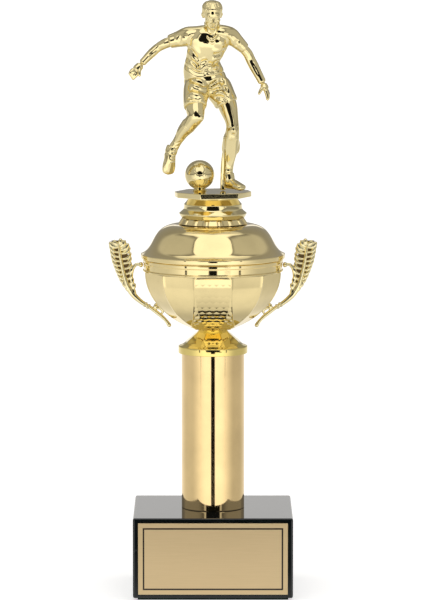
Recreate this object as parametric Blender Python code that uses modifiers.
"""Figure trophy: a stone block, a tube, a lidded cup with laurel handles and a football player.

Sizes are in millimetres and are turned into metres by MM. The origin is on the trophy's axis, at
the underside of the felt pad. +Z is up and the engraving plate faces -Y.
"""

import math

import bmesh
import bpy
from mathutils import Matrix, Vector

MM = 0.001

# ---- driving dimensions, in millimetres ----
GAP = 0.3                  # clearance between two pieces that touch

BLOCK_WIDTH = 101.0        # stone block
BLOCK_DEPTH = 89.0
BLOCK_HEIGHT = 51.0
BLOCK_EDGE = 1.2
FELT_THICKNESS = 1.0
FELT_INSET = 3.0
WELL_ROOM = 6.0            # counterbore under the block: room for a spanner round the washer
WELL_SPARE = 3.4           # from the rod's end to the block's underside

SIGN_MARGIN = 3.4          # engraving plate: from its ends to the block's
SIGN_FOOT = 2.7            # from the block's underside to the plate
SIGN_DROP = 2.9            # from the block's top to the plate
SIGN_THICKNESS = 0.5
TAPE_THICKNESS = 0.2
TAPE_INSET = 1.5

ROD_RADIUS = 3.0           # threaded rod and what is on it
ROD_TAIL = 3.5             # rod that shows below its nut
ROD_SHORT = 0.6            # from the rod's upper end to the captive nut's top
NUT_WALL = 2.8             # from the rod to a nut's corners
NUT_HEIGHT = 5.0
WASHER_MARGIN = 3.2        # from a nut's corners to a washer's edge
WASHER_THICKNESS = 1.5

TUBE_RADIUS = 20.0         # column
TUBE_WALL = 1.2
TUBE_LENGTH = 102.0
INSERT_FLANGE = 2.0
INSERT_HEIGHT = 9.0
INSERT_WALL = 2.0

COLLAR_LIP = 2.0           # cup foot: how far its collar stands off the tube
COLLAR_HEIGHT = 4.6
COLLAR_CAP = 1.6           # thickness of the web that rests on the tube
FOOT_NECK = 9.4
FOOT_FLARE = 1.6           # lip round the neck's top
FOOT_HEIGHT = 11.4         # from the collar's shoulder to the neck's top
FOOT_WALL = 1.6

BOWL_RADIUS = 42.7         # to the middle of a panel
BOWL_DEPTH = 36.0
BOWL_WALL = 1.4
BOWL_FLOOR = 13.4          # radius of the flat underside
BOWL_SLIMNESS = 1.22       # 1 makes the bowl's outline an ellipse, more draws its lower half in
BOWL_PANELS = 12

BAND_HEIGHT = 7.6
BAND_WALL = 2.0
BAND_BEAD = 0.5
LIP_DEPTH = 2.2            # how far the band reaches down inside the bowl
LIP_WALL = 1.2

LID_BRIM = 1.7             # how far the lid's rim stands off the band
LID_RIM_HEIGHT = 3.2
LID_LIP_DEPTH = 2.0        # how far the lid reaches down inside the band
LID_HEIGHT = 21.8          # from the rim's underside to the top
LID_WALL = 1.4
LID_LEDGE = 3.9            # from the crown's foot to where the top would meet the shoulder

CROWN_HEAD = 19.0          # ribbed collar on the lid, root of the ribs at its head
CROWN_SPREAD = 2.6         # how much wider its foot is
CROWN_HEIGHT = 3.2
CROWN_WALL = 3.0
CROWN_RIBS = 16
CROWN_RIB_WIDTH = 2.2
CROWN_RIB_PROUD = 0.9

RISER_OVERHANG = 2.5       # stepped skirt under the figure: how far it overhangs the crown
RISER_TAPER = 6.0          # how much narrower its head is
RISER_HEIGHT = 13.2
RISER_WALL = 1.8
RISER_ROLL = 1.4           # how far its foot rolls in
BOSS_WALL = 2.5            # wall round the captive nut

DECK_HALF_WIDTH = 23.9     # eight-sided plate
DECK_HALF_DEPTH = 20.0
DECK_HALF_FRONT = 12.2
DECK_HALF_SIDE = 4.8
DECK_THICKNESS = 3.4
DECK_TURN = math.radians(12.0)

BALL_RADIUS = 9.4
BALL_PLACE = (-8.4, 3.0)
BALL_STUD_RADIUS = 4.6
BALL_STUD_HEIGHT = 1.4

ARM_RADIUS = 1.1           # handle
STALK_RADIUS = 1.8
ARCH_OUT = 8.0             # how far the arch stands off the band
UPPER_PEG = 3.4            # from the band's foot up to the upper peg
LOOP_DROP = 24.5           # from the upper peg down to the lower one
TAIL_DROP = 15.4           # from the lower peg down to the tail's end
SPRAY_THICKNESS = 2.8
SPRAY_HEIGHT = 39.0
SPRAY_HALF = 6.5           # half the spray's width
SPRAY_LEAN = 9.2           # how far the spray's tip leans out
SPRAY_LEAVES = 9

ROUND = 40                 # sides of a large turned piece
SMALL_ROUND = 24

# ---- sizes that follow from the sizes above ----
SIGN_WIDTH = BLOCK_WIDTH - 2 * SIGN_MARGIN
SIGN_HEIGHT = BLOCK_HEIGHT - SIGN_FOOT - SIGN_DROP
BORE = ROD_RADIUS + GAP
NUT_RADIUS = ROD_RADIUS + NUT_WALL
WASHER_RADIUS = NUT_RADIUS + WASHER_MARGIN
WELL_RADIUS = WASHER_RADIUS + WELL_ROOM
WELL_DEPTH = 2 * GAP + WASHER_THICKNESS + NUT_HEIGHT + ROD_TAIL + WELL_SPARE
COLLAR_RADIUS = TUBE_RADIUS + COLLAR_LIP
BAND_RADIUS = BOWL_RADIUS / math.cos(math.pi / BOWL_PANELS)
LID_RIM_RADIUS = BAND_RADIUS + LID_BRIM
CROWN_FOOT = CROWN_HEAD + CROWN_SPREAD
LID_TOP = CROWN_FOOT + LID_LEDGE
RISER_RADIUS = CROWN_HEAD + RISER_OVERHANG
RISER_HEAD = RISER_RADIUS - RISER_TAPER
RISER_BOSS = NUT_RADIUS + GAP + BOSS_WALL

# ---- heights that follow from the sizes above ----
BLOCK_FOOT = FELT_THICKNESS + GAP
BLOCK_TOP = BLOCK_FOOT + BLOCK_HEIGHT
TUBE_FOOT = BLOCK_TOP + GAP
TUBE_TOP = TUBE_FOOT + TUBE_LENGTH
SHOULDER = TUBE_TOP + GAP + COLLAR_CAP
NECK_TOP = SHOULDER + FOOT_HEIGHT
BOWL_FOOT = NECK_TOP + GAP
BOWL_TOP = BOWL_FOOT + BOWL_DEPTH
BAND_FOOT = BOWL_TOP + GAP
BAND_TOP = BAND_FOOT + BAND_HEIGHT
LID_FOOT = BAND_TOP + GAP
LID_CREST = LID_FOOT + LID_HEIGHT
CROWN_BASE = LID_CREST + GAP
CROWN_TOP = CROWN_BASE + CROWN_HEIGHT
RISER_FOOT = CROWN_TOP + GAP
RISER_TOP = RISER_FOOT + RISER_HEIGHT
DECK_FOOT = RISER_TOP + GAP
DECK_TOP = DECK_FOOT + DECK_THICKNESS
STANDING = DECK_TOP + GAP

WELL_ROOF = BLOCK_FOOT + WELL_DEPTH
WASHER_TOP = WELL_ROOF - GAP
NUT_TOP = WASHER_TOP - WASHER_THICKNESS - GAP
ROD_FOOT = NUT_TOP - NUT_HEIGHT - ROD_TAIL
CAPTIVE_FOOT = RISER_TOP - RISER_WALL - GAP - NUT_HEIGHT
ROD_TOP = CAPTIVE_FOOT + NUT_HEIGHT - ROD_SHORT


# ---- scene and materials ----
def clear_scene():
    for item in list(bpy.data.objects):
        bpy.data.objects.remove(item, do_unlink=True)


def collection(name):
    made = bpy.data.collections.new(name)
    bpy.context.scene.collection.children.link(made)
    return made


clear_scene()
PARTS = collection("figure_trophy")
CUTTERS = collection("cutters")


def material(name, colour, metallic, roughness):
    made = bpy.data.materials.new(name)
    made.use_nodes = True
    shader = made.node_tree.nodes["Principled BSDF"]
    shader.inputs["Base Color"].default_value = (*colour, 1.0)
    shader.inputs["Metallic"].default_value = metallic
    shader.inputs["Roughness"].default_value = roughness
    made.diffuse_color = (*colour, 1.0)
    return made


PALE_GOLD = (0.80, 0.65, 0.33)
DEEP_GOLD = (0.74, 0.52, 0.18)
PINK_GOLD = (0.82, 0.63, 0.38)


def finish(item, colour, metallic=1.0, roughness=0.12):
    item.data.materials.clear()
    item.data.materials.append(material(item.name + "_finish", colour, metallic, roughness))
    return item


# ---- bodies ----
def empty(name, place=(0.0, 0.0, 0.0)):
    made = bpy.data.objects.new(name, None)
    made.location = Vector(place) * MM
    PARTS.objects.link(made)
    return made


STAND = empty("stand")
TURNING = empty("figure_turn", (0.0, 0.0, RISER_FOOT))


def hold(item, parent):
    """Parents a piece and leaves it where it is."""
    item.parent = parent
    item.matrix_parent_inverse = Matrix.Translation(-parent.location)
    return item


# ---- shapes ----
def put(name, mesh, where=PARTS):
    made = bpy.data.objects.new(name, mesh)
    where.objects.link(made)
    if where is CUTTERS:
        made.hide_render = True
        made.display_type = "WIRE"
    return made


def smooth(item, angle=35.0):
    item.data.shade_smooth()
    item.data.set_sharp_from_angle(angle=math.radians(angle))
    return item


def settle(item):
    """Replaces an object's modifiers by the mesh that they make."""
    graph = bpy.context.evaluated_depsgraph_get()
    mesh = bpy.data.meshes.new_from_object(item.evaluated_get(graph))
    old = item.data
    item.modifiers.clear()
    if item.type == "MESH":
        item.data = mesh
        bpy.data.meshes.remove(old)
        return item
    made = bpy.data.objects.new(item.name, mesh)
    made.matrix_world = item.matrix_world.copy()
    made.hide_render = item.hide_render
    made.display_type = item.display_type
    for owner in item.users_collection:
        owner.objects.link(made)
    name = item.name
    bpy.data.objects.remove(item, do_unlink=True)
    made.name = name
    work = bmesh.new()
    work.from_mesh(mesh)
    bmesh.ops.remove_doubles(work, verts=work.verts, dist=0.00001)
    bmesh.ops.recalc_face_normals(work, faces=work.faces)
    work.to_mesh(mesh)
    work.free()
    return made


def turned(name, profile, sides=ROUND, turn=0.0, where=PARTS):
    """Turns a closed outline of (radius, height) pairs, which runs down its outer side, about Z."""
    mesh = bpy.data.meshes.new(name)
    points = [(r * MM, 0.0, z * MM) for r, z in profile]
    count = len(points)
    mesh.from_pydata(points, [(i, (i + 1) % count) for i in range(count)], [])
    made = put(name, mesh, where)
    screw = made.modifiers.new("turn", "SCREW")
    screw.steps = sides
    screw.render_steps = sides
    screw.use_merge_vertices = True
    screw.merge_threshold = 0.00001
    settle(made)
    made.rotation_euler.z = turn
    return smooth(made)


def disc(name, radius, foot, height, sides=SMALL_ROUND, where=PARTS):
    work = bmesh.new()
    bmesh.ops.create_cone(work, cap_ends=True, segments=sides, radius1=radius * MM,
                          radius2=radius * MM, depth=height * MM)
    mesh = bpy.data.meshes.new(name)
    work.to_mesh(mesh)
    work.free()
    made = put(name, mesh, where)
    made.location.z = (foot + height / 2) * MM
    return made


def block(name, size, centre, where=PARTS):
    work = bmesh.new()
    bmesh.ops.create_cube(work, size=1.0)
    bmesh.ops.scale(work, vec=Vector(size) * MM, verts=work.verts)
    mesh = bpy.data.meshes.new(name)
    work.to_mesh(mesh)
    work.free()
    made = put(name, mesh, where)
    made.location = Vector(centre) * MM
    return made


def ball(name, radii, centre, turn=(0.0, 0.0, 0.0), rings=10, where=PARTS):
    work = bmesh.new()
    bmesh.ops.create_uvsphere(work, u_segments=2 * rings, v_segments=rings, radius=1.0)
    bmesh.ops.scale(work, vec=Vector(radii) * MM, verts=work.verts)
    mesh = bpy.data.meshes.new(name)
    work.to_mesh(mesh)
    work.free()
    made = put(name, mesh, where)
    made.location = Vector(centre) * MM
    made.rotation_euler = [math.radians(a) for a in turn]
    return smooth(made, 60.0)


def rod(name, points, where=PARTS, steps=4, sides=3):
    """A round bar along points of (x, y, z, radius)."""
    curve = bpy.data.curves.new(name, "CURVE")
    curve.dimensions = "3D"
    curve.bevel_depth = MM
    curve.bevel_resolution = sides
    curve.use_fill_caps = True
    line = curve.splines.new("NURBS")
    line.points.add(len(points) - 1)
    for point, (x, y, z, radius) in zip(line.points, points):
        point.co = (x * MM, y * MM, z * MM, 1.0)
        point.radius = radius
    line.order_u = min(3, len(points))
    line.use_endpoint_u = True
    line.resolution_u = steps
    return settle(put(name, curve, where))


def flat_shape(name, outline, thickness, where=PARTS):
    """A flat outline of (x, z) pairs, thickened both ways along Y."""
    curve = bpy.data.curves.new(name, "CURVE")
    curve.dimensions = "2D"
    curve.fill_mode = "BOTH"
    curve.extrude = thickness / 2 * MM
    line = curve.splines.new("POLY")
    line.points.add(len(outline) - 1)
    for point, (x, z) in zip(line.points, outline):
        point.co = (x * MM, z * MM, 0.0, 1.0)
    line.use_cyclic_u = True
    made = put(name, curve, where)
    made.rotation_euler.x = math.pi / 2
    bpy.context.view_layer.update()
    return settle(made)


def boolean(item, tool, operation):
    change = item.modifiers.new(tool.name, "BOOLEAN")
    change.operation = operation
    change.object = tool
    change.solver = "EXACT"


def cut(item, tool):
    boolean(item, tool, "DIFFERENCE")


def join(item, tool):
    boolean(item, tool, "UNION")


def weld(item):
    """Closes the hair gaps that joins leave."""
    settle(item)
    work = bmesh.new()
    work.from_mesh(item.data)
    bmesh.ops.remove_doubles(work, verts=work.verts, dist=0.000001)
    work.to_mesh(item.data)
    work.free()
    return item


# ---- stone block and what is on it ----
def marble_base():
    made = block("marble_base", (BLOCK_WIDTH, BLOCK_DEPTH, BLOCK_HEIGHT),
                 (0.0, 0.0, BLOCK_FOOT + BLOCK_HEIGHT / 2))
    edge = made.modifiers.new("polished edge", "BEVEL")
    edge.width = BLOCK_EDGE * MM
    edge.segments = 3
    reach = BLOCK_HEIGHT + 4.0
    cut(made, disc("rod_hole", BORE, BLOCK_FOOT - 2.0, reach, where=CUTTERS))
    cut(made, disc("nut_well", WELL_RADIUS, BLOCK_FOOT - 2.0, WELL_DEPTH + 2.0, where=CUTTERS))
    return finish(hold(made, STAND), (0.01, 0.01, 0.012), 0.0, 0.08)


def felt_pad():
    made = block("felt_pad", (BLOCK_WIDTH - 2 * FELT_INSET, BLOCK_DEPTH - 2 * FELT_INSET,
                              FELT_THICKNESS), (0.0, 0.0, FELT_THICKNESS / 2))
    return finish(hold(made, STAND), (0.02, 0.03, 0.02), 0.0, 0.95)


TAPE_BACK = -BLOCK_DEPTH / 2 - GAP
SIGN_BACK = TAPE_BACK - TAPE_THICKNESS - GAP
SIGN_MIDDLE = BLOCK_FOOT + SIGN_FOOT + SIGN_HEIGHT / 2


def plate_adhesive():
    made = block("plate_adhesive", (SIGN_WIDTH - 2 * TAPE_INSET, TAPE_THICKNESS,
                                    SIGN_HEIGHT - 2 * TAPE_INSET),
                 (0.0, TAPE_BACK - TAPE_THICKNESS / 2, SIGN_MIDDLE))
    return finish(hold(made, STAND), (0.8, 0.8, 0.75), 0.0, 0.7)


def engraving_plate():
    made = block("engraving_plate", (SIGN_WIDTH, SIGN_THICKNESS, SIGN_HEIGHT),
                 (0.0, SIGN_BACK - SIGN_THICKNESS / 2, SIGN_MIDDLE))
    return finish(hold(made, STAND), (0.55, 0.42, 0.22), 0.6, 0.4)


# ---- rod, nuts and washers ----
def tie_rod():
    made = disc("tie_rod", ROD_RADIUS, ROD_FOOT, ROD_TOP - ROD_FOOT)
    return finish(hold(smooth(made), STAND), (0.55, 0.55, 0.56), 1.0, 0.35)


def ring_of(name, outer, foot, height, sides=SMALL_ROUND):
    return turned(name, [(outer, foot + height), (outer, foot), (BORE, foot),
                         (BORE, foot + height)], sides)


def hex_nut(name, foot, parent):
    made = disc(name, NUT_RADIUS, foot, NUT_HEIGHT, sides=6)
    cut(made, disc(name + "_bore", BORE, foot - 1.0, NUT_HEIGHT + 2.0, where=CUTTERS))
    return finish(hold(made, parent), (0.6, 0.58, 0.55), 1.0, 0.3)


def washer(name, foot):
    made = ring_of(name, WASHER_RADIUS, foot, WASHER_THICKNESS)
    return finish(hold(made, STAND), (0.62, 0.6, 0.57), 1.0, 0.3)


# ---- column ----
def column_tube():
    inner = TUBE_RADIUS - TUBE_WALL
    made = turned("column_tube", [(TUBE_RADIUS, TUBE_TOP), (TUBE_RADIUS, TUBE_FOOT),
                                  (inner, TUBE_FOOT), (inner, TUBE_TOP)])
    return finish(hold(made, STAND), PINK_GOLD)


def column_insert():
    """A cup that stands in the tube's foot and centres it on the rod."""
    outer = TUBE_RADIUS - TUBE_WALL - GAP
    inner = outer - INSERT_WALL
    top = TUBE_FOOT + INSERT_HEIGHT
    web = TUBE_FOOT + INSERT_FLANGE
    made = turned("column_insert", [(outer, top), (outer, TUBE_FOOT), (BORE, TUBE_FOOT),
                                    (BORE, web), (inner, web), (inner, top)], 32)
    return finish(hold(made, STAND), (0.05, 0.05, 0.05), 0.0, 0.5)


# ---- cup ----
def foot_curve(height):
    """Radius of the cup's foot at a height above its shoulder: a slightly full cone."""
    share = min(max(height / (FOOT_HEIGHT * 0.92), 0.0), 1.0)
    return FOOT_NECK + (COLLAR_RADIUS - 1.4 - FOOT_NECK) * (1.0 - share ** 1.08)


def cup_foot():
    lip = TUBE_TOP + GAP - (COLLAR_HEIGHT - COLLAR_CAP)
    web = TUBE_TOP + GAP
    inner = TUBE_RADIUS + GAP
    ledge = TUBE_RADIUS - TUBE_WALL - 1.2
    heights = [FOOT_HEIGHT * 0.92 * math.sin(i * math.pi / 16) for i in range(8, -1, -1)]
    outer = [(foot_curve(h), SHOULDER + h) for h in heights]
    flare = [(FOOT_NECK + FOOT_FLARE, NECK_TOP), (FOOT_NECK + 0.5, NECK_TOP - 0.4)]
    hollow = FOOT_NECK - FOOT_WALL - 1.0
    skirt = [(COLLAR_RADIUS, SHOULDER - 0.4), (COLLAR_RADIUS, lip), (inner, lip), (inner, web),
             (ledge, web), (ledge - 0.2, web + 1.5),
             (hollow, SHOULDER + FOOT_HEIGHT * 0.72), (hollow, NECK_TOP - FOOT_WALL),
             (BORE, NECK_TOP - FOOT_WALL), (BORE, NECK_TOP)]
    made = turned("cup_foot", flare + outer + skirt)
    return finish(hold(made, STAND), DEEP_GOLD)


def bowl_start():
    """Angle at which the bowl's outline leaves its flat underside, and the outline's height."""
    first = math.asin((BOWL_FLOOR / BOWL_RADIUS) ** (1.0 / BOWL_SLIMNESS))
    return first, BOWL_DEPTH / math.cos(first)


def bowl():
    """A dish of flat panels: its outline is turned in as many steps as there are panels."""
    corner = 1.0 / math.cos(math.pi / BOWL_PANELS)
    first, rise = bowl_start()
    outer = []
    for i in range(11):
        angle = first + (math.pi / 2 - first) * i / 10
        outer.append((BOWL_RADIUS * math.sin(angle) ** BOWL_SLIMNESS * corner,
                      BOWL_TOP - rise * math.cos(angle)))
    inner = [(r - BOWL_WALL * corner, z + BOWL_WALL * (BOWL_TOP - z) / BOWL_DEPTH)
             for r, z in outer]
    web = [(BORE, BOWL_FOOT), (BORE, BOWL_FOOT + BOWL_WALL)]
    made = turned("bowl", outer[::-1] + web + inner, BOWL_PANELS, math.pi / BOWL_PANELS)
    return finish(hold(smooth(made, 20.0), STAND), PALE_GOLD)


def rim_band():
    """Plain ring between bowl and lid, beaded at its foot and head, with a lip inside the bowl."""
    inner = BAND_RADIUS - BAND_WALL
    bead = BAND_RADIUS + BAND_BEAD
    lip = BOWL_RADIUS - BOWL_WALL - GAP
    made = turned("rim_band", [
        (BAND_RADIUS, BAND_TOP), (BAND_RADIUS, BAND_TOP - 1.2), (bead, BAND_TOP - 1.6),
        (bead, BAND_TOP - 2.2), (BAND_RADIUS, BAND_TOP - 2.6), (BAND_RADIUS, BAND_FOOT + 0.9),
        (bead, BAND_FOOT + 0.6), (bead, BAND_FOOT), (lip, BAND_FOOT), (lip, BAND_FOOT - LIP_DEPTH),
        (lip - LIP_WALL, BAND_FOOT - LIP_DEPTH), (lip - LIP_WALL, BAND_FOOT + 1.2),
        (inner, BAND_FOOT + 1.8),
        (inner, BAND_TOP)])
    return finish(hold(made, STAND), PALE_GOLD)


def bend(start, pull, push, end, steps):
    """Points along a cubic curve, without its last one."""
    points = []
    for i in range(steps):
        t = i / steps
        u = 1.0 - t
        shares = (u ** 3, 3 * u * u * t, 3 * u * t * t, t ** 3)
        knots = (start, pull, push, end)
        points.append(tuple(sum(k * p[axis] for k, p in zip(shares, knots)) for axis in (0, 1)))
    return points


def lid_curve(inset):
    """The dome's outline from its flat top to its rim, moved in by a wall's thickness."""
    crest = LID_CREST - inset
    waist = (LID_RIM_RADIUS - 6.4 - inset, LID_FOOT + 0.42 * LID_HEIGHT)
    rim = (LID_RIM_RADIUS - 0.7 - inset, LID_FOOT + LID_RIM_HEIGHT)
    top = (LID_TOP - 3.0, crest)
    dome = bend(top, (LID_TOP + 8.0 - inset, crest), (waist[0] - 3.2, waist[1] + 6.0), waist, 7)
    flare = bend(waist, (waist[0] + 1.4, waist[1] - 2.6), (rim[0] - 2.6, rim[1] + 1.2), rim, 3)
    return dome + flare + [rim]


def lid():
    """A domed shell with a hole for the rod and a rim that drops over the band's inside."""
    outer = lid_curve(0.0)
    lip = BAND_RADIUS - BAND_WALL - GAP
    inner = [(min(r, lip - LID_WALL), z) for r, z in lid_curve(LID_WALL)]
    rim = [(LID_RIM_RADIUS, LID_FOOT + LID_RIM_HEIGHT - 0.7), (LID_RIM_RADIUS, LID_FOOT + 0.4),
           (LID_RIM_RADIUS - 0.4, LID_FOOT), (lip, LID_FOOT), (lip, LID_FOOT - LID_LIP_DEPTH),
           (lip - LID_WALL, LID_FOOT - LID_LIP_DEPTH)]
    hole = [(BORE, LID_CREST - LID_WALL), (BORE, LID_CREST)]
    inner = [p for p in inner if p[0] < lip - LID_WALL]
    made = turned("lid", outer + rim + inner[::-1] + hole)
    return finish(hold(made, STAND), PALE_GOLD)


def crown_collar():
    """A short cone with upright ribs."""
    made = turned("crown_collar", [
        (CROWN_HEAD, CROWN_TOP), (CROWN_FOOT, CROWN_BASE), (CROWN_FOOT - CROWN_WALL, CROWN_BASE),
        (CROWN_HEAD - CROWN_WALL, CROWN_TOP)])
    lean = math.atan2(CROWN_FOOT - CROWN_HEAD, CROWN_HEIGHT)
    middle = (CROWN_FOOT + CROWN_HEAD) / 2
    work = bmesh.new()
    for i in range(CROWN_RIBS):
        rib = bmesh.ops.create_cube(work, size=1.0)["verts"]
        bmesh.ops.scale(work, verts=rib, vec=Vector((2 * CROWN_RIB_PROUD, CROWN_RIB_WIDTH,
                                                     CROWN_HEIGHT * 0.86)) * MM)
        bmesh.ops.rotate(work, verts=rib, matrix=Matrix.Rotation(-lean, 3, "Y"))
        bmesh.ops.translate(work, verts=rib, vec=Vector((middle, 0.0, 0.0)) * MM)
        bmesh.ops.rotate(work, verts=rib,
                         matrix=Matrix.Rotation(2 * math.pi * i / CROWN_RIBS, 3, "Z"))
    mesh = bpy.data.meshes.new("crown_ribs")
    work.to_mesh(mesh)
    work.free()
    ribs = put("crown_ribs", mesh, CUTTERS)
    ribs.location.z = (CROWN_BASE + CROWN_HEIGHT / 2) * MM
    join(made, ribs)
    return finish(hold(weld(made), STAND), DEEP_GOLD)


# ---- handles ----
# A handle lies in one plane: its outlines give the way out from the axis and the height.
def bowl_side(height):
    """Radius to the middle of a panel at a height."""
    rise = bowl_start()[1]
    slope = math.sqrt(1.0 - ((BOWL_TOP - height) / rise) ** 2)
    return BOWL_RADIUS * slope ** BOWL_SLIMNESS


def spray_outline(foot):
    """Notched outline of the laurel spray: it leans outwards from its foot and widens upwards."""
    points = []
    count = SPRAY_LEAVES * 2
    for side in (1, -1):
        run = range(count + 1) if side == 1 else range(count, -1, -1)
        for i in run:
            t = i / count
            middle = foot[0] + SPRAY_LEAN * (1.0 - (1.0 - t) ** 2.6)
            half = SPRAY_HALF * min(0.16 + 1.05 * t ** 0.75, 1.0)
            half *= 0.62 if i == count else 1.0
            half *= 1.0 if i % 2 else 0.86
            points.append((middle + side * half, foot[1] + SPRAY_HEIGHT * t))
    return points


def handle(name, side):
    """A peg and an arch from the band, down to a second peg at the bowl, with a spray outside."""
    band = BAND_RADIUS + GAP
    top = BAND_FOOT + UPPER_PEG
    low = top - LOOP_DROP
    wall = bowl_side(low) + GAP
    out = BAND_RADIUS + ARCH_OUT
    route = [
        (band, top, ARM_RADIUS), (band + 3.2, top + 0.3, ARM_RADIUS),
        (out - 0.6, top - 0.8, ARM_RADIUS), (out, top - 6.6, ARM_RADIUS),
        (out - 0.2, top - 13.6, ARM_RADIUS), (out - 1.3, top - 18.1, STALK_RADIUS),
        (out - 4.8, top - 22.6, STALK_RADIUS), (wall + 7.8, low - 1.7, STALK_RADIUS),
        (wall + 3.8, low - 4.7, STALK_RADIUS - 0.2), (wall - 1.2, low - 7.3, STALK_RADIUS - 0.2),
        (wall - 4.9, low - 9.1, ARM_RADIUS), (wall - 7.9, low - 11.8, ARM_RADIUS),
        (wall - 8.9, low - TAIL_DROP, ARM_RADIUS + 0.2)]
    made = rod(name, [(side * x, 0.0, z, r) for x, z, r in route])
    peg = rod(name + "_lower_peg", [(side * (wall + 2.0), 0.0, low - 5.6, 1.4),
                                    (side * (wall + ARM_RADIUS), 0.0, low, ARM_RADIUS)], CUTTERS)
    join(made, peg)
    outline = [(side * x, z) for x, z in spray_outline((out - 1.4, top - 21.0))]
    join(made, flat_shape(name + "_spray", outline, SPRAY_THICKNESS, CUTTERS))
    bead = ball(name + "_bead", (2.2, 2.2, 2.2), (side * (wall + 6.2), 0.0, low - 2.9),
                rings=6, where=CUTTERS)
    join(made, bead)
    return finish(hold(weld(made), STAND), PALE_GOLD, 1.0, 0.15)


# ---- what turns: riser, nut, plate, ball and player ----
def figure_riser():
    """A stepped skirt with a boss for the captive nut."""
    steps = [(0.0, 0.0), (0.0, 0.07), (0.43, 0.32), (0.43, 0.38), (0.57, 0.56), (0.63, 0.61),
             (1.0, 0.73), (1.0, 0.8)]
    outer = [(RISER_HEAD + RISER_TAPER * out, RISER_TOP - RISER_HEIGHT * down)
             for out, down in steps]
    outer.append((RISER_RADIUS - RISER_ROLL, RISER_FOOT))
    under = [(RISER_RADIUS - RISER_ROLL - RISER_WALL, RISER_FOOT),
             (RISER_HEAD - RISER_WALL, RISER_TOP - RISER_WALL),
             (RISER_BOSS, RISER_TOP - RISER_WALL), (RISER_BOSS, CAPTIVE_FOOT),
             (NUT_RADIUS + GAP, CAPTIVE_FOOT), (NUT_RADIUS + GAP, RISER_TOP - RISER_WALL),
             (BORE, RISER_TOP - RISER_WALL), (BORE, RISER_TOP)]
    made = turned("figure_riser", outer + under)
    return finish(hold(made, TURNING), PALE_GOLD)


def figure_plate():
    corners = [(DECK_HALF_FRONT, DECK_HALF_DEPTH), (DECK_HALF_WIDTH, DECK_HALF_SIDE)]
    quarter = corners + [(x, -y) for x, y in corners[::-1]]
    outline = quarter + [(-x, -y) for x, y in quarter]
    made = flat_shape("figure_plate", outline, DECK_THICKNESS)
    turn = Matrix.Rotation(DECK_TURN, 4, "Z") @ Matrix.Rotation(-math.pi / 2, 4, "X")
    height = Matrix.Translation((0.0, 0.0, (DECK_FOOT + DECK_THICKNESS / 2) * MM))
    made.data.transform(height @ turn @ made.matrix_world)
    made.matrix_world = Matrix.Identity(4)
    edge = made.modifiers.new("soft edge", "BEVEL")
    edge.width = 0.35 * MM
    edge.segments = 2
    return finish(hold(made, TURNING), PALE_GOLD)


def figure_ball():
    """The ball and the short stud that it stands on."""
    place = (*BALL_PLACE, STANDING + BALL_STUD_HEIGHT * 0.4 + BALL_RADIUS)
    made = ball("figure_ball", (BALL_RADIUS,) * 3, place, rings=14)
    stud = disc("ball_stud", BALL_STUD_RADIUS, STANDING, BALL_STUD_HEIGHT + 0.4, sides=20,
                where=CUTTERS)
    stud.location.x = BALL_PLACE[0] * MM
    stud.location.y = BALL_PLACE[1] * MM
    join(made, stud)
    return finish(hold(weld(made), TURNING), PALE_GOLD)


# The player's joints, in millimetres, with +Z from the plate's top and +Y to the back.
HEAD = (-0.6, -9.0, 113.2)
NECK = (-1.6, -5.0, 99.0)
CHEST = (-2.6, -1.6, 90.0)
WAIST = (-5.6, 2.0, 78.0)
HIPS = (-5.0, 3.0, 68.5)
LEFT_SHOULDER = (-13.8, -3.0, 97.4)
LEFT_ELBOW = (-33.0, -1.0, 92.6)
LEFT_WRIST = (-45.0, -6.0, 81.6)
LEFT_FINGERS = (-52.4, -8.0, 73.0)
RIGHT_SHOULDER = (9.2, -2.6, 96.2)
RIGHT_ELBOW = (23.8, 1.0, 83.6)
RIGHT_WRIST = (31.4, -3.0, 67.6)
RIGHT_FINGERS = (34.6, -5.0, 57.0)
LEFT_HIP = (-10.2, 1.0, 68.0)
LEFT_KNEE = (-7.8, -14.0, 48.6)
LEFT_ANKLE = (-25.4, -2.0, 28.0)
LEFT_TOE = (-27.6, -3.0, 12.4)
RIGHT_HIP = (1.0, 2.0, 68.0)
RIGHT_KNEE = (11.6, -3.0, 38.0)
RIGHT_ANKLE = (10.6, 4.0, 12.4)
RIGHT_TOE = (18.8, -6.8, 2.6)
STRUT_TOP = (9.2, 2.8, 27.0)
STRUT_FOOT = (6.2, 8.6, 0.0)


def along(start, end, share):
    return tuple(a + (b - a) * share for a, b in zip(start, end))


def limb(name, stops):
    return rod(name, [(x, y, STANDING + z, r) for (x, y, z), r in stops], CUTTERS, 3, 2)


def lump(name, radii, centre, turn=(0.0, 0.0, 0.0), rings=6):
    return ball(name, radii, (centre[0], centre[1], STANDING + centre[2]), turn, rings, CUTTERS)


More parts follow.
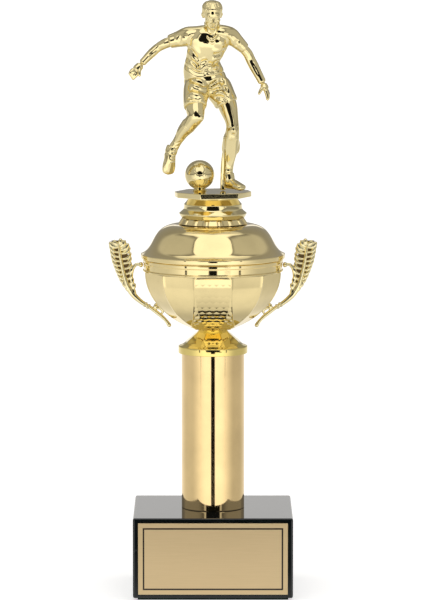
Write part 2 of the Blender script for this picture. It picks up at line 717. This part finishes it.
def player_pieces():
    """Overlapping bars and lumps that together are the player."""
    calf = along(RIGHT_KNEE, RIGHT_ANKLE, 0.34)
    left_calf = along(LEFT_KNEE, LEFT_ANKLE, 0.36)
    return [
        lump("hips", (13.0, 9.0, 10.0), HIPS),
        lump("chest", (14.4, 9.6, 12.0), CHEST, (12.0, 0.0, -4.0)),
        limb("neck", [(along(CHEST, NECK, 0.5), 5.4), (NECK, 4.2),
                      (along(NECK, HEAD, 0.75), 4.0)]),
        lump("head", (6.1, 7.4, 8.6), HEAD, (14.0, 0.0, -8.0), 8),
        limb("left_sleeve", [(along(LEFT_SHOULDER, LEFT_ELBOW, -0.25), 6.0),
                             (LEFT_SHOULDER, 6.6), (along(LEFT_SHOULDER, LEFT_ELBOW, 0.6), 6.4)]),
        limb("left_arm", [(along(LEFT_SHOULDER, LEFT_ELBOW, 0.2), 4.2), (LEFT_ELBOW, 3.8),
                          (along(LEFT_ELBOW, LEFT_WRIST, 0.4), 3.6), (LEFT_WRIST, 2.5)]),
        limb("left_hand", [(along(LEFT_ELBOW, LEFT_WRIST, 0.85), 2.3),
                           (along(LEFT_WRIST, LEFT_FINGERS, 0.4), 3.4), (LEFT_FINGERS, 1.6)]),
        limb("right_sleeve", [(along(RIGHT_SHOULDER, RIGHT_ELBOW, -0.3), 6.0),
                              (RIGHT_SHOULDER, 6.6),
                              (along(RIGHT_SHOULDER, RIGHT_ELBOW, 0.68), 6.2)]),
        limb("right_arm", [(along(RIGHT_SHOULDER, RIGHT_ELBOW, 0.2), 4.2), (RIGHT_ELBOW, 3.8),
                           (along(RIGHT_ELBOW, RIGHT_WRIST, 0.4), 3.6), (RIGHT_WRIST, 2.5)]),
        limb("right_hand", [(along(RIGHT_ELBOW, RIGHT_WRIST, 0.85), 2.3),
                            (along(RIGHT_WRIST, RIGHT_FINGERS, 0.4), 3.4),
                            (RIGHT_FINGERS, 1.6)]),
        limb("left_shorts", [(along(LEFT_HIP, LEFT_KNEE, -0.1), 9.0),
                             (along(LEFT_HIP, LEFT_KNEE, 0.66), 10.0)]),
        limb("left_leg", [(LEFT_HIP, 7.0), (along(LEFT_HIP, LEFT_KNEE, 0.7), 6.2),
                          (LEFT_KNEE, 5.2), (left_calf, 5.2), (LEFT_ANKLE, 3.3)]),
        limb("left_boot", [(along(LEFT_ANKLE, LEFT_TOE, -0.16), 4.0),
                           (along(LEFT_ANKLE, LEFT_TOE, 0.5), 4.2), (LEFT_TOE, 2.6)]),
        limb("right_shorts", [(along(RIGHT_HIP, RIGHT_KNEE, -0.1), 9.0),
                              (along(RIGHT_HIP, RIGHT_KNEE, 0.56), 10.0)]),
        limb("right_leg", [(RIGHT_HIP, 7.2), (along(RIGHT_HIP, RIGHT_KNEE, 0.6), 6.6),
                           (RIGHT_KNEE, 5.0), (calf, 5.4), (RIGHT_ANKLE, 3.3),
                           (along(RIGHT_ANKLE, RIGHT_TOE, 0.6), 3.4)]),
        limb("right_boot", [((10.0, 6.0, 4.2), 4.1), ((14.2, -1.2, 4.6), 4.2),
                            (RIGHT_TOE, 2.5)]),
        limb("strut", [(STRUT_FOOT, 2.4), (STRUT_TOP, 2.0)]),
    ]


def figure_player():
    made = rod("figure_player", [(x, y, STANDING + z, r) for (x, y, z), r in (
        (HIPS, 10.4), (WAIST, 10.6), (CHEST, 12.2), (along(CHEST, NECK, 0.7), 9.0))], sides=4)
    for piece in player_pieces():
        join(made, piece)
    weld(made)
    slab = block("below_the_boots", (120.0, 120.0, 20.0), (0.0, 0.0, STANDING - 10.0), CUTTERS)
    cut(made, slab)
    return finish(hold(weld(made), TURNING), PALE_GOLD, 1.0, 0.15)


def build():
    marble_base()
    felt_pad()
    plate_adhesive()
    engraving_plate()
    tie_rod()
    hex_nut("rod_nut", NUT_TOP - NUT_HEIGHT, STAND)
    washer("rod_washer", WASHER_TOP - WASHER_THICKNESS)
    column_tube()
    column_insert()
    cup_foot()
    bowl()
    washer("bowl_washer", BOWL_FOOT + BOWL_WALL + GAP)
    hex_nut("bowl_nut", BOWL_FOOT + BOWL_WALL + 2 * GAP + WASHER_THICKNESS, STAND)
    rim_band()
    handle("handle_left", -1)
    handle("handle_right", 1)
    lid()
    crown_collar()
    figure_riser()
    hex_nut("figure_nut", CAPTIVE_FOOT, TURNING)
    figure_plate()
    figure_ball()
    figure_player()


build()
